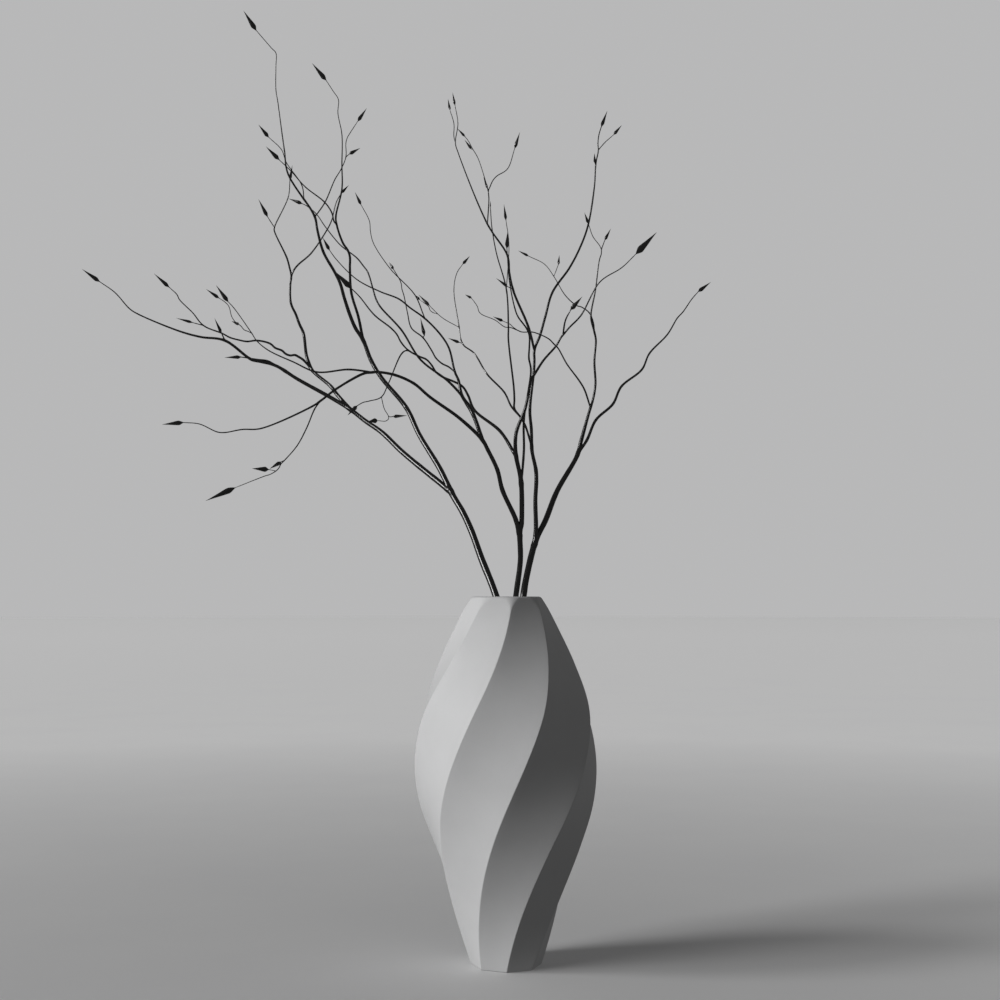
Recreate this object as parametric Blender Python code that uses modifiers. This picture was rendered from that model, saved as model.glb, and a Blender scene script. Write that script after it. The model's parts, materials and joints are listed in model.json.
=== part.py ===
"""Branch arrangement in a vase.

An eight-sided ceramic vase, twisted about a quarter turn from its base to its mouth,
holds three bare budded branches. They stand on the floor inside it and lean on its lip.
Sizes are in millimetres in the values below and in metres in the model. The origin is the
centre of the vase's base, +X is to the right, +Y to the back and +Z up.
"""

import math

import bmesh
import bpy
from mathutils import Vector

MM = 0.001
COLLECTION = "branch_arrangement"

# The vase, measured to its corners
VASE_HEIGHT = 367.5
VASE_SIDES = 8
VASE_TWIST = 99.0            # degrees from base to mouth, counter-clockwise seen from above
VASE_TURN = 0.0              # where a corner of the base points, in degrees
VASE_WALL = 5.0
VASE_FLOOR = 9.0             # height of the floor inside
VASE_ROW = 12.0              # most that one row of faces rises
VASE_CORNERS = [             # distance from the axis to a corner, height
    (35.3, 0), (55.0, 60), (75.0, 120), (87.8, 165), (92.4, 210),
    (87.4, 255), (69.2, 300), (52.4, 335), (36.5, VASE_HEIGHT)]
LIP_STEPS = 6

# The branches
STAND = VASE_FLOOR + 0.7     # height of a stem's cut end, clear of the floor
TWIG_STEP = 22.0             # longest stretch of a twig between two rings
FINE_STEP = 2.0              # spacing of the points where another twig may start
ROOT_SHRINK = 0.75           # a twig is this much thinner at its root, inside its parent
RIPPLE = 1.5                 # most that a route bends back and forth at its points
RIPPLE_SHARE = 0.06          # the same, against the distance between two points
UNION_SOLVER = "MANIFOLD"    # the tubes are closed, and this solver joins them fast
WELD = 0.000005              # metres between two corners that are one
BUD_SHAPE = [                # share of the bud's length, share of its width
    (0.18, 1.0), (0.36, 0.88), (1.0, 0.07)]

# A viewer at rim height, in front of the vase, for whom the branches are drawn
VIEW_DISTANCE = 1471.0
EYE_ACROSS = -6.4
EYE_UP = 368.0


def seen(point):
    """Real place of a drawn point (across, back, up), and how much its width grows.

    across and up are read on the upright plane through the vase's axis, as the viewer
    sees them, and back is how far behind that plane the point lies.
    """
    across, back, up = point
    spread = (VIEW_DISTANCE + back) / VIEW_DISTANCE
    place = (EYE_ACROSS + (across - EYE_ACROSS) * spread, back, EYE_UP + (up - EYE_UP) * spread)
    return Vector(place), spread


def drawn(place):
    """Drawn point of a real place, the other way round."""
    across, back, up = place
    spread = (VIEW_DISTANCE + back) / VIEW_DISTANCE
    return Vector((EYE_ACROSS + (across - EYE_ACROSS) / spread, back, EYE_UP + (up - EYE_UP) / spread))


def evenly(values, share):
    """Value at a share of the way along evenly spaced values."""
    place = min(max(share, 0.0), 1.0) * (len(values) - 1)
    index = min(int(place), len(values) - 2)
    return values[index] + (values[index + 1] - values[index]) * (place - index)


def shares_along(points):
    """How far along the route each point is, from 0 to 1."""
    lengths = [0.0]
    for before, after in zip(points, points[1:]):
        lengths.append(lengths[-1] + (after - before).length)
    return [length / lengths[-1] for length in lengths]


def smooth(points, step):
    """Centripetal Catmull-Rom curve through the points, with its own points a step apart."""
    ends = [2 * points[0] - points[1]] + points + [2 * points[-1] - points[-2]]
    curve = [points[0]]
    for p0, p1, p2, p3 in zip(ends, ends[1:], ends[2:], ends[3:]):
        t1 = math.sqrt((p1 - p0).length)
        t2 = t1 + math.sqrt((p2 - p1).length)
        t3 = t2 + math.sqrt((p3 - p2).length)
        count = max(1, math.ceil((p2 - p1).length / step))
        for part in range(1, count + 1):
            t = t1 + (t2 - t1) * part / count
            first = p0.lerp(p1, t / t1)
            middle = p1.lerp(p2, (t - t1) / (t2 - t1))
            last = p2.lerp(p3, (t - t2) / (t3 - t2))
            curve.append(first.lerp(middle, t / t2).lerp(middle.lerp(last, (t - t1) / (t3 - t1)),
                                                         (t - t1) / (t2 - t1)))
    return curve


def make_material(name, colour, roughness):
    """Plain material with one colour and roughness."""
    material = bpy.data.materials.new(name)
    material.use_nodes = True
    shader = material.node_tree.nodes["Principled BSDF"]
    shader.inputs["Base Color"].default_value = (*colour, 1.0)
    shader.inputs["Roughness"].default_value = roughness
    return material


def vase_section():
    """Half section of the vase, from the middle of its inner floor over the lip to its base."""
    corners = [Vector(corner) for corner in VASE_CORNERS]
    slant = 1.0 / math.cos(math.pi / VASE_SIDES)
    lip = VASE_WALL / 2
    lip_base = VASE_HEIGHT - lip
    outer = smooth(corners, VASE_ROW)
    lip_share = (lip_base - outer[-2].y) / (outer[-1].y - outer[-2].y)
    outer[-1] = outer[-2].lerp(outer[-1], lip_share)
    across_wall = Vector((VASE_WALL * slant, 0.0))
    inner = [point - across_wall for point in outer if point.y > VASE_FLOOR + 1.0]
    foot_share = (VASE_FLOOR - outer[0].y) / (outer[1].y - outer[0].y)
    inner_foot = outer[0].lerp(outer[1], foot_share) - across_wall
    rounding = []
    for part in range(1, LIP_STEPS):
        angle = math.pi * part / LIP_STEPS
        reach = outer[-1].x - lip * slant * (1 + math.cos(angle))
        rounding.append(Vector((reach, lip_base + lip * math.sin(angle))))
    axis = [Vector((0.0, VASE_FLOOR)), Vector((0.0, 0.0))]
    return [axis[0], inner_foot] + inner + rounding + outer[::-1] + [axis[1]]


def make_vase(collection):
    """The vase: a half section turned with flat sides, and twisted about its axis."""
    section = vase_section()
    mesh = bpy.data.meshes.new("vase")
    places = [(point.x * MM, 0.0, point.y * MM) for point in section]
    mesh.from_pydata(places, [(index, index + 1) for index in range(len(section) - 1)], [])
    mesh.materials.append(make_material("matte_white_ceramic", (0.6, 0.6, 0.59), 0.55))
    vase = bpy.data.objects.new("vase", mesh)
    collection.objects.link(vase)
    vase.rotation_euler.z = math.radians(VASE_TURN)
    turn = vase.modifiers.new("turned", "SCREW")
    turn.steps = VASE_SIDES
    turn.render_steps = VASE_SIDES
    turn.use_merge_vertices = True
    turn.merge_threshold = 0.00001
    turn.use_smooth_shade = False
    twist = vase.modifiers.new("twisted", "SIMPLE_DEFORM")
    twist.deform_method = "TWIST"
    twist.deform_axis = "Z"
    twist.angle = math.radians(VASE_TWIST)
    return vase


class Branch:
    """One branch: a stem, and the twigs and buds that grow from it."""

    def __init__(self, name, material, collection):
        self.name = name
        self.material = material
        self.collection = collection
        self.tubes = []

    def stem(self, inside, thick, back, bud, route):
        """The stem, from its cut end inside the vase up to its last bud."""
        inner = [drawn(place) for place in inside]
        return self.grow(inner, route, thick, back, bud, 1.0)

    def twig(self, parent, thick, back, bud, route):
        """A twig or a bud's stalk, which starts in the middle of what it grows from."""
        across, up = route[0]
        root = min(parent, key=lambda point: math.hypot(point.x - across, point.z - up))
        return self.grow([root], route[1:], thick, (root.y,) + tuple(back), bud, ROOT_SHRINK)

    def grow(self, start, route, thick, back, bud, shrink):
        """One tube along the start and the drawn route, with a bud on its end.

        The widths in thick and the depths in back are spaced evenly along the route. Its
        last two points are the bud's base and its tip.
        """
        flat = [Vector((across, 0.0, up)) for across, up in route]
        if len(start) == 1:
            flat.insert(0, Vector((start[0].x, 0.0, start[0].z)))
        points = []
        for index, (point, share) in enumerate(zip(flat, shares_along(flat))):
            bend = min(RIPPLE, RIPPLE_SHARE * (point - flat[max(index - 1, 0)]).length) / max(1.0, thick[0])
            points.append(point + Vector((0.0, evenly(back, share) + bend * (-1) ** index, 0.0)))
        if len(start) == 1:
            points[0] = start[0]
        else:
            points = start + points
        tip = points.pop()
        curve = smooth(points, TWIG_STEP)
        shares = shares_along(curve)
        first = points[len(start)] if len(start) > 1 else points[0]
        begin = shares[min(range(len(curve)), key=lambda index: (curve[index] - first).length)]
        widths = [evenly(thick, (share - begin) / (1 - begin)) for share in shares]
        widths[0] *= shrink
        for share, width in BUD_SHAPE:
            curve.append(points[-1].lerp(tip, share))
            widths.append(bud * width)
        self.tubes.append(self.tube(curve, widths))
        return smooth(points, FINE_STEP)

    def tube(self, curve, widths):
        """Closed tube along a drawn curve, with a width at each of its points."""
        data = bpy.data.curves.new(self.name, "CURVE")
        data.dimensions = "3D"
        data.bevel_depth = MM / 2
        data.bevel_resolution = 1
        data.use_fill_caps = True
        spline = data.splines.new("POLY")
        spline.points.add(len(curve) - 1)
        for knot, point, width in zip(spline.points, curve, widths):
            place, spread = seen(point)
            knot.co = (*(place * MM), 1.0)
            knot.radius = width * spread
        made = bpy.data.objects.new(self.name, data)
        self.collection.objects.link(made)
        return made

    def grow_together(self):
        """The tubes joined in one closed body, which keeps the branch's name."""
        solids = [as_solid(tube) for tube in self.tubes]
        twigs = bpy.data.collections.new(self.name + "_twigs")
        for solid in solids[1:]:
            twigs.objects.link(solid)
            self.collection.objects.unlink(solid)
        stem = solids[0]
        union = stem.modifiers.new("grown_together", "BOOLEAN")
        union.operation = "UNION"
        union.operand_type = "COLLECTION"
        union.collection = twigs
        union.solver = UNION_SOLVER
        bpy.context.view_layer.update()
        graph = bpy.context.evaluated_depsgraph_get()
        joined = bpy.data.meshes.new_from_object(stem.evaluated_get(graph))
        stem.modifiers.clear()
        stem.data = joined
        stem.data.materials.clear()
        stem.data.materials.append(self.material)
        for solid in solids[1:]:
            bpy.data.objects.remove(solid)
        bpy.data.collections.remove(twigs)
        stem.name = self.name
        return stem


def as_solid(tube):
    """Mesh object in place of a curve object, with its caps welded on."""
    bpy.context.view_layer.update()
    graph = bpy.context.evaluated_depsgraph_get()
    mesh = bpy.data.meshes.new_from_object(tube.evaluated_get(graph))
    welded = bmesh.new()
    welded.from_mesh(mesh)
    bmesh.ops.remove_doubles(welded, verts=welded.verts, dist=WELD)
    bmesh.ops.recalc_face_normals(welded, faces=welded.faces)
    welded.to_mesh(mesh)
    welded.free()
    solid = bpy.data.objects.new(tube.name, mesh)
    solid.matrix_world = tube.matrix_world
    tube.users_collection[0].objects.link(solid)
    bpy.data.objects.remove(tube)
    return solid


def make_left_branch(wood, collection):
    """The branch that leans furthest to the left and reaches highest."""
    branch = Branch("branch_left", wood, collection)
    stem = branch.stem(
        [(7, -15, STAND), (10, -18, 50), (21, -26, 120), (22, -26, 220), (4, -2, 310)],
        thick=(6.8, 6.1, 4.8, 4, 2.9, 1.8, 0.9, 0.7),
        back=(24.8, 68.8, 115, 154, 152, 150, 150, 145), bud=5, route=[
            (-10.5, 368), (-25, 405.5), (-35, 433), (-43.5, 451.5), (-53.5, 468.5), (-66.5, 495),
            (-87, 529), (-100, 556), (-125.5, 587), (-135.5, 604), (-143.5, 624.5), (-151, 636),
            (-157, 650.5), (-162.5, 667.5), (-166, 680), (-171.5, 691.5), (-183, 712), (-189, 734),
            (-191, 745.5), (-194.5, 753), (-218.5, 790.5), (-222, 813.5), (-224, 827.5),
            (-228.5, 861.5), (-230.5, 874.5), (-230.5, 897.5), (-230.5, 911), (-235, 916),
            (-250.5, 934), (-263, 953.5)])
    low = branch.twig(
        stem, thick=(5.8, 5.1, 4.1, 3.2, 2.3, 1.3, 0.8),
        back=(116, 150.5, 178, 190, 190, 182, 170, 156), bud=4, route=[
            (-56, 472.5), (-103, 511), (-124.5, 531.5), (-141, 543), (-156, 554.5), (-174, 565.5),
            (-209, 585), (-231, 598.5), (-246, 602.5), (-255, 604.5), (-281.5, 623.5), (-305.5, 627),
            (-326, 632.5), (-367.5, 649.5), (-376.5, 655), (-391.5, 671.5), (-407, 682.5),
            (-424.5, 695)])
    branch.twig(
        low, thick=(1.7, 1), back=(200,), bud=3.5, route=[
            (-221.5, 594), (-238.5, 603), (-248.5, 604.5), (-265.5, 607), (-282, 606.5)])
    branch.twig(
        low, thick=(1.5, 0.9), back=(180,), bud=3, route=[
            (-282, 624.5), (-285, 631), (-292, 646)])
    rise = branch.twig(
        low, thick=(3.9, 3.3, 2.5, 1.7, 1.1, 0.8), back=(190, 210, 216, 214, 208, 204), bud=3, route=[
            (-156.5, 554), (-169, 569), (-175.5, 577.5), (-194.5, 594), (-197.5, 601), (-200, 609),
            (-203, 631), (-207, 640), (-210.5, 649.5), (-215.5, 661), (-216, 680), (-215, 687.5),
            (-217, 697), (-219.5, 706), (-232, 733), (-232, 736.5), (-218, 767.5), (-216.5, 784),
            (-214, 799)])
    branch.twig(
        rise, thick=(0.9, 0.8), back=(205,), bud=4, route=[
            (-232, 736.5), (-239, 747.5), (-248, 765)])
    branch.twig(
        rise, thick=(1.5, 1.2, 0.8), back=(208, 196, 188), bud=3, route=[
            (-215, 687.5), (-213, 693), (-208.5, 699), (-195.5, 710.5), (-179.5, 734), (-175, 743),
            (-170, 762), (-165, 771), (-157.5, 779)])
    reach = branch.twig(
        rise, thick=(2.2, 1.8, 1.4, 1.1, 0.8), back=(205, 212, 216, 216), bud=4, route=[
            (-195.5, 595), (-203, 604), (-207.5, 607), (-211.5, 609), (-216, 608.5), (-220.5, 610),
            (-224.5, 613.5), (-231, 616), (-236.5, 620.5), (-249.5, 623.5), (-259.5, 622.5),
            (-267.5, 624), (-276.5, 626.5), (-284, 630.5), (-303, 638.5), (-313.5, 651), (-327, 664.5),
            (-329.5, 669.5), (-337.5, 677), (-352.5, 690.5)])
    branch.twig(
        reach, thick=(1, 0.8), back=(210,), bud=3, route=[
            (-303.5, 639), (-314, 641.5), (-330.5, 646)])
    tall = branch.twig(
        stem, thick=(2.7, 2.3, 2, 1.5, 1.1, 0.8, 0.7), back=(140, 124, 108, 96, 88), bud=4.5, route=[
            (-144, 625), (-148, 647), (-155, 671), (-156.5, 695.5), (-156.5, 707), (-158.5, 713.5),
            (-163.5, 721), (-170, 740.5), (-170.5, 748), (-164.5, 775), (-164.5, 799.5),
            (-164.5, 829.5), (-168.5, 851), (-168, 864.5), (-173, 872.5), (-180.5, 884), (-194.5, 901)])
    branch.twig(
        tall, thick=(1.4, 1.1, 0.8), back=(98, 90, 84), bud=4.5, route=[
            (-170.5, 739), (-172.5, 743), (-174.5, 751), (-182, 762), (-201, 777), (-216, 793.5),
            (-227.5, 804.5), (-240.5, 817.5)])
    top_right = branch.twig(
        stem, thick=(1.2, 0.9, 0.7), back=(156, 164, 172), bud=3.5, route=[
            (-191, 747), (-181.5, 761.5), (-171.5, 784.5), (-165.5, 794.5), (-160.5, 807),
            (-160.5, 821), (-159, 826.5), (-156, 831.5), (-148.5, 843), (-139.5, 856)])
    branch.twig(
        top_right, thick=(0.9, 0.8), back=(160,), bud=3.5, route=[
            (-160.5, 807), (-157, 810), (-146, 816)])
    branch.twig(
        stem, thick=(1, 0.8, 0.7), back=(142, 134, 128), bud=4, route=[
            (-202, 765), (-204.5, 778.5), (-220, 801.5), (-225, 814.5), (-238, 827), (-248, 839.5)])
    branch.grow_together()


def make_middle_branch(wood, collection):
    """The branch that leaves the mouth upright and spreads both ways."""
    branch = Branch("branch_middle", wood, collection)
    stem = branch.stem(
        [(-16, 10, STAND), (-18, 8, 110), (-10, 2, 220), (3, -15, 310)],
        thick=(5.4, 4.9, 4.5, 3.2, 2.3, 1.5, 1.1, 0.8),
        back=(-26.2, -32, -36, -40, -56, -78), bud=6.5, route=[
            (9.5, 368), (14, 404), (13.5, 432), (15, 440), (15.5, 456), (14.5, 484), (9.5, 509),
            (9, 524), (10.5, 534), (18.5, 554.5), (23, 575.5), (25, 585), (28, 589.5), (37, 603.5),
            (50, 618.5), (55, 627), (57.5, 630), (63, 636.5), (74.5, 648.5), (93.5, 682),
            (115.5, 696.5), (130, 710.5), (150.5, 732)])
    low = branch.twig(
        stem, thick=(4.7, 4.1, 3.4, 2.8, 2.5, 2, 1.5, 1.1, 0.8),
        back=(-45, -72, -98, -118, -135), bud=4.5, route=[
            (13, 428), (9.5, 444), (-4, 474), (-9, 494), (-18.5, 514), (-24, 524), (-46.5, 545.5),
            (-76.5, 567), (-92.5, 580.5), (-111.5, 589), (-129.5, 592), (-135.5, 591.5),
            (-142.5, 590.5), (-169.5, 575.5), (-186, 563), (-193.5, 558), (-245.5, 535.5),
            (-264.5, 534.5), (-281.5, 531.5), (-289, 532), (-307, 540), (-323.5, 541.5),
            (-344.5, 539.5)])
    low_down = branch.twig(
        low, thick=(1.3, 1.1, 0.9, 0.7), back=(-112, -120, -128, -134), bud=6, route=[
            (-185.5, 563), (-191.5, 555.5), (-200, 535.5), (-209.5, 518), (-222.5, 503), (-225.5, 500),
            (-227.5, 496), (-230.5, 493), (-236.5, 489.5), (-241.5, 488), (-272, 476), (-301, 463)])
    branch.twig(
        low_down, thick=(0.9, 0.8), back=(-128,), bud=4, route=[
            (-222, 504), (-225.5, 502), (-237, 495)])
    branch.twig(
        low_down, thick=(0.8, 0.7), back=(-132,), bud=5, route=[
            (-230.5, 493), (-238, 494.5), (-254.5, 495.5)])
    low_thin = branch.twig(
        low, thick=(1.8, 1.5, 1.2, 0.9, 0.8), back=(-84, -72, -64, -58), bud=4.5, route=[
            (-134.5, 591.5), (-157.5, 594.5), (-189.5, 592), (-213, 602), (-238.5, 614), (-250, 623.5),
            (-254.5, 630.5), (-272.5, 656), (-278.5, 662.5), (-290.5, 679)])
    low_thin_side = branch.twig(
        low_thin, thick=(0.8, 0.7), back=(-72, -84), bud=3.5, route=[
            (-254, 630), (-258, 632.5), (-262, 634), (-266, 638.5), (-270.5, 641.5), (-274.5, 647),
            (-277.5, 657.5), (-281.5, 662), (-287.5, 666), (-300.5, 675)])
    branch.twig(
        low_thin_side, thick=(0.8, 0.7), back=(-80,), bud=3, route=[
            (-266, 638.5), (-267.5, 639.5), (-275, 643)])
    mid = branch.twig(
        low, thick=(4, 3.9, 2, 1.7, 1.5, 1.3, 1, 0.8),
        back=(-35, -28, -30, -36, -44, -52), bud=3.5, route=[
            (-24, 524), (-33, 549), (-38.5, 559), (-44.5, 568.5), (-48, 584), (-51.5, 592),
            (-57.5, 616), (-66, 629.5), (-81.5, 645.5), (-96, 656), (-107.5, 665), (-126.5, 672.5),
            (-149.5, 684.5), (-170, 704.5), (-177, 714), (-184, 727)])
    branch.twig(
        mid, thick=(1.1, 0.8, 0.7), back=(-46, -58, -68), bud=3, route=[
            (-80.5, 645.5), (-83.5, 650.5), (-91.5, 669), (-115.5, 694.5), (-129, 713.5),
            (-134, 723.5), (-136, 733), (-137, 743), (-145.5, 759.5), (-151.5, 772)])
    mid_left = branch.twig(
        mid, thick=(1.4, 1.3, 1, 0.8), back=(-8, 0, 6), bud=3, route=[
            (-51.5, 591.5), (-57.5, 597), (-64.5, 600.5), (-70.5, 606), (-74.5, 613), (-83.5, 626.5),
            (-95, 636), (-99, 651.5), (-102.5, 668.5), (-104.5, 675), (-105.5, 681.5), (-113, 695),
            (-118, 702.5)])
    branch.twig(
        mid_left, thick=(1, 0.8), back=(-6,), bud=3.5, route=[
            (-83, 626), (-82, 628.5), (-86, 646.5)])
    branch.twig(
        mid, thick=(2.5, 1.8, 1.6, 1.3, 1, 0.8), back=(-52, -44, -32, -18, -4), bud=3.5, route=[
            (-39.5, 561), (-46, 570), (-58.5, 583), (-86, 604.5), (-105, 634), (-125.5, 656.5),
            (-130, 664), (-138.5, 691.5), (-143, 698), (-149.5, 706), (-165, 718), (-171.5, 725),
            (-182, 738.5), (-190, 750), (-199.5, 758), (-204.5, 760.5), (-218, 765.5)])
    arch = branch.twig(
        stem, thick=(3.3, 2.9, 2.2, 1.7, 1.4, 1.3, 1), back=(-14, -8, -2, 4, 8), bud=6, route=[
            (9, 507.5), (-6, 532.5), (-32, 554), (-38.5, 569), (-44.5, 578), (-65.5, 588),
            (-70.5, 592), (-74.5, 598.5), (-80, 604.5), (-87, 607.5), (-98.5, 614), (-105.5, 622),
            (-109.5, 629.5), (-115.5, 636), (-132, 649), (-147, 667.5), (-155.5, 676), (-172.5, 693.5)])
    arch_drop = branch.twig(
        arch, thick=(1.3, 1, 0.9), back=(-8, -18), bud=4, route=[
            (-97.5, 613.5), (-100.5, 613.5), (-105, 610), (-118, 580.5), (-125, 567), (-137, 563),
            (-143.5, 561.5), (-149.5, 558), (-159, 548.5)])
    arch_drop_left = branch.twig(
        arch_drop, thick=(0.8, 0.7), back=(-30, -60), bud=5, route=[
            (-125, 567), (-122, 555), (-118, 548), (-118, 545), (-120.5, 543), (-129.5, 543.5),
            (-138.5, 542.5)])
    branch.twig(
        arch_drop_left, thick=(0.9, 0.8), back=(-26,), bud=3.5, route=[
            (-118, 548), (-116.5, 547), (-113.5, 547.5), (-99, 548.5)])
    branch.twig(
        stem, thick=(2.4, 2.1, 1.8, 1.5, 1.1, 0.8), back=(-34, -46, -56, -64), bud=4, route=[
            (15, 481), (17.5, 514), (17.5, 544), (24.5, 594), (22.5, 606), (23, 618), (23, 628),
            (20.5, 635), (11.5, 647.5), (8.5, 655.5), (3, 683), (0.5, 716), (1.5, 734)])
    branch.twig(
        stem, thick=(1.6, 1.3, 1), back=(-56,), bud=5, route=[
            (57, 629), (59, 643.5), (64.5, 654.5), (76, 667.5)])
    branch.grow_together()


def make_right_branch(wood, collection):
    """The branch that leans to the right."""
    branch = Branch("branch_right", wood, collection)
    stem = branch.stem(
        [(-8, -16, STAND), (-8, -18, 110), (0, -6, 220), (10, 11, 310)],
        thick=(6.4, 5.8, 5.2, 4.1, 2.2, 1.8, 1.2, 0.8), back=(23.4, 52, 80, 84, 84, 86), bud=3, route=[
            (17, 368), (19.5, 384), (29.5, 424), (39, 443.5), (50.5, 472.5), (71, 509), (75, 524),
            (83.5, 554.5), (86.5, 564), (89, 579.5), (88, 602.5), (89.5, 624), (88, 632), (84.5, 647),
            (89, 673.5), (93, 704), (95, 710.5), (95, 714), (98.5, 724), (104.5, 735.5)])
    branch.twig(
        stem, thick=(0.8, 0.7), back=(96,), bud=3, route=[
            (95, 713.5), (93.5, 718), (86.5, 727.5), (82, 740.5), (78, 751.5)])
    hook = branch.twig(
        stem, thick=(1.2, 1, 0.7, 0.7), back=(88, 96, 102), bud=2.5, route=[
            (88, 632), (87, 641), (83, 651), (75, 657), (70, 658.5), (59, 668.5), (47.5, 687.5),
            (38.5, 699.5), (22, 708), (11.5, 713.5)])
    branch.twig(
        hook, thick=(0.7, 0.7), back=(108,), bud=2.5, route=[
            (47.5, 687.5), (52, 699.5), (53, 709)])
    sweep = branch.twig(
        stem, thick=(1.6, 1.3, 1.1, 0.8, 0.7), back=(86, 92, 96, 100), bud=2.5, route=[
            (84, 555.5), (78, 574.5), (73, 583), (60.5, 600), (51.5, 616), (47.5, 620), (42.5, 625),
            (31, 630.5), (25.5, 632), (15.5, 632), (10.5, 634), (4, 636.5), (-1.5, 637), (-11.5, 644),
            (-24.5, 649.5), (-27.5, 652.5), (-29, 657.5), (-35, 666), (-41.5, 669.5)])
    branch.twig(
        sweep, thick=(0.8, 0.7), back=(72,), bud=3, route=[
            (11.5, 633.5), (6.5, 637), (4, 639.5), (-3.5, 643), (-13.5, 647.5)])
    branch.twig(
        stem, thick=(2.8, 2.5, 2.2, 1.8, 1.4, 1.1, 0.8), back=(82, 86, 90, 94, 98), bud=4, route=[
            (71.5, 510), (80.5, 524), (89.5, 544), (106.5, 560), (115, 577.5), (135.5, 594.5),
            (143, 610.5), (161, 629.5), (171, 646), (176.5, 652), (185.5, 665), (192, 672.5),
            (204.5, 682)])
    tall = branch.twig(
        stem, thick=(4.5, 3.8, 2.9, 2.4, 2, 1.7, 1.3, 0.9),
        back=(44, 42, 44, 50, 58, 64), bud=3.5, route=[
            (28, 419), (29.5, 434), (29, 464), (30, 484), (29.5, 494), (25.5, 514), (25, 534),
            (23.5, 554), (27.5, 593.5), (28, 604), (28, 614), (33.5, 628), (39, 647.5), (46, 671.5),
            (63, 696), (73, 715), (81.5, 738), (88, 777.5), (89.5, 800.5), (92, 814), (91.5, 820),
            (92.5, 829), (95, 837.5), (101, 853.5)])
    branch.twig(
        tall, thick=(0.9, 0.7), back=(66,), bud=3, route=[
            (92, 813.5), (98, 821), (107.5, 829.5), (115.5, 839)])
    branch.twig(
        tall, thick=(0.8, 0.8), back=(58,), bud=2.5, route=[
            (89.5, 798.5), (88.5, 801), (88, 811)])
    lean = branch.twig(
        tall, thick=(2.4, 2.2, 1.9, 1.5, 1.2, 0.9, 0.7), back=(46, 54, 60, 66, 72), bud=2.5, route=[
            (28, 614), (22, 637), (7, 673), (3, 691), (1, 708.5), (-19, 740), (-48.5, 812), (-51, 821),
            (-48.5, 840.5), (-51.5, 859), (-54, 872)])
    branch.twig(
        lean, thick=(0.8, 0.7), back=(84,), bud=2.5, route=[
            (-51, 820.5), (-52.5, 827.5), (-52.5, 840.5), (-56.5, 854), (-58.5, 865.5)])
    branch.twig(
        lean, thick=(0.9, 0.8), back=(30,), bud=3, route=[
            (6.5, 674), (1, 677.5), (-10.5, 686)])
    crotch = branch.twig(
        lean, thick=(1.1, 0.9, 0.7), back=(50, 40, 32), bud=3.5, route=[
            (-19.5, 740.5), (-17.5, 765), (-18, 773.5), (-16.5, 777), (-13.5, 783.5), (-9.5, 788),
            (1, 795), (8.5, 816), (13.5, 832)])
    crotch_left = branch.twig(
        crotch, thick=(0.8, 0.7, 0.7), back=(38, 28), bud=2.5, route=[
            (-18, 773.5), (-28.5, 806), (-34, 815.5), (-38, 823), (-41.5, 827.5), (-49.5, 836)])
    branch.twig(
        crotch_left, thick=(0.7, 0.7), back=(44,), bud=2.5, route=[
            (-33, 814), (-35, 815), (-42, 824.5)])
    branch.twig(
        crotch, thick=(0.8, 0.8), back=(56,), bud=2.5, route=[
            (-18, 771), (-19, 775.5), (-23, 787.5)])
    inner = branch.twig(
        tall, thick=(1.9, 1.8, 1.6, 1.4, 1.2, 1, 0.8), back=(24, 16, 10, 6, 2), bud=1.2, route=[
            (25, 518), (19, 538), (14, 547), (8, 555.5), (8, 564), (7.5, 575.5), (2, 624.5), (2, 637),
            (0, 674.5), (-10, 711), (-14.5, 736.5), (-16, 757), (-16, 763.5)])
    branch.twig(
        inner, thick=(0.8, 0.7), back=(-6, -12), bud=3, route=[
            (-0.5, 675), (2.5, 721), (-0.5, 744), (-2.5, 760)])
    arch = branch.twig(
        inner, thick=(1.7, 1.4, 1, 0.7), back=(40, 64, 76, 84), bud=3, route=[
            (13.5, 546), (5, 557.5), (-2, 571.5), (-19, 589.5), (-32.5, 611), (-42.5, 618.5),
            (-45.5, 624.5), (-47.5, 638.5), (-52.5, 674.5), (-49.5, 691), (-43.5, 700), (-36.5, 708)])
    arch_side = branch.twig(
        arch, thick=(0.7, 0.7), back=(88,), bud=3, route=[
            (-47.5, 637), (-61.5, 644.5), (-67.5, 649), (-77, 658.5), (-88, 669.5)])
    branch.twig(
        arch_side, thick=(0.7, 0.7), back=(98,), bud=2.5, route=[
            (-68.5, 649.5), (-73.5, 651.5), (-76.5, 654), (-77.5, 657), (-87, 664.5), (-91, 669)])
    branch.twig(
        arch, thick=(0.8, 0.8), back=(64,), bud=3, route=[
            (-44, 621), (-47, 621.5), (-58.5, 626)])
    branch.grow_together()


def main():
    """Clears the scene and makes the vase and its three branches."""
    for old in list(bpy.data.objects):
        bpy.data.objects.remove(old)
    collection = bpy.data.collections.new(COLLECTION)
    bpy.context.scene.collection.children.link(collection)
    make_vase(collection)
    wood = make_material("dark_stained_wood", (0.012, 0.011, 0.011), 0.35)
    make_left_branch(wood, collection)
    make_middle_branch(wood, collection)
    make_right_branch(wood, collection)


main()
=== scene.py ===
"""Looks of a branch arrangement in a vase: pale twisted ceramic and dark budded wood.

The fine vase and the fine branches replace the plain solids and keep their form. Sizes are
in millimetres in the values below and in metres in the scene.
"""

import json
import math

import bmesh
import bpy
from mathutils import Matrix, Vector, noise
from mathutils.kdtree import KDTree

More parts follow.
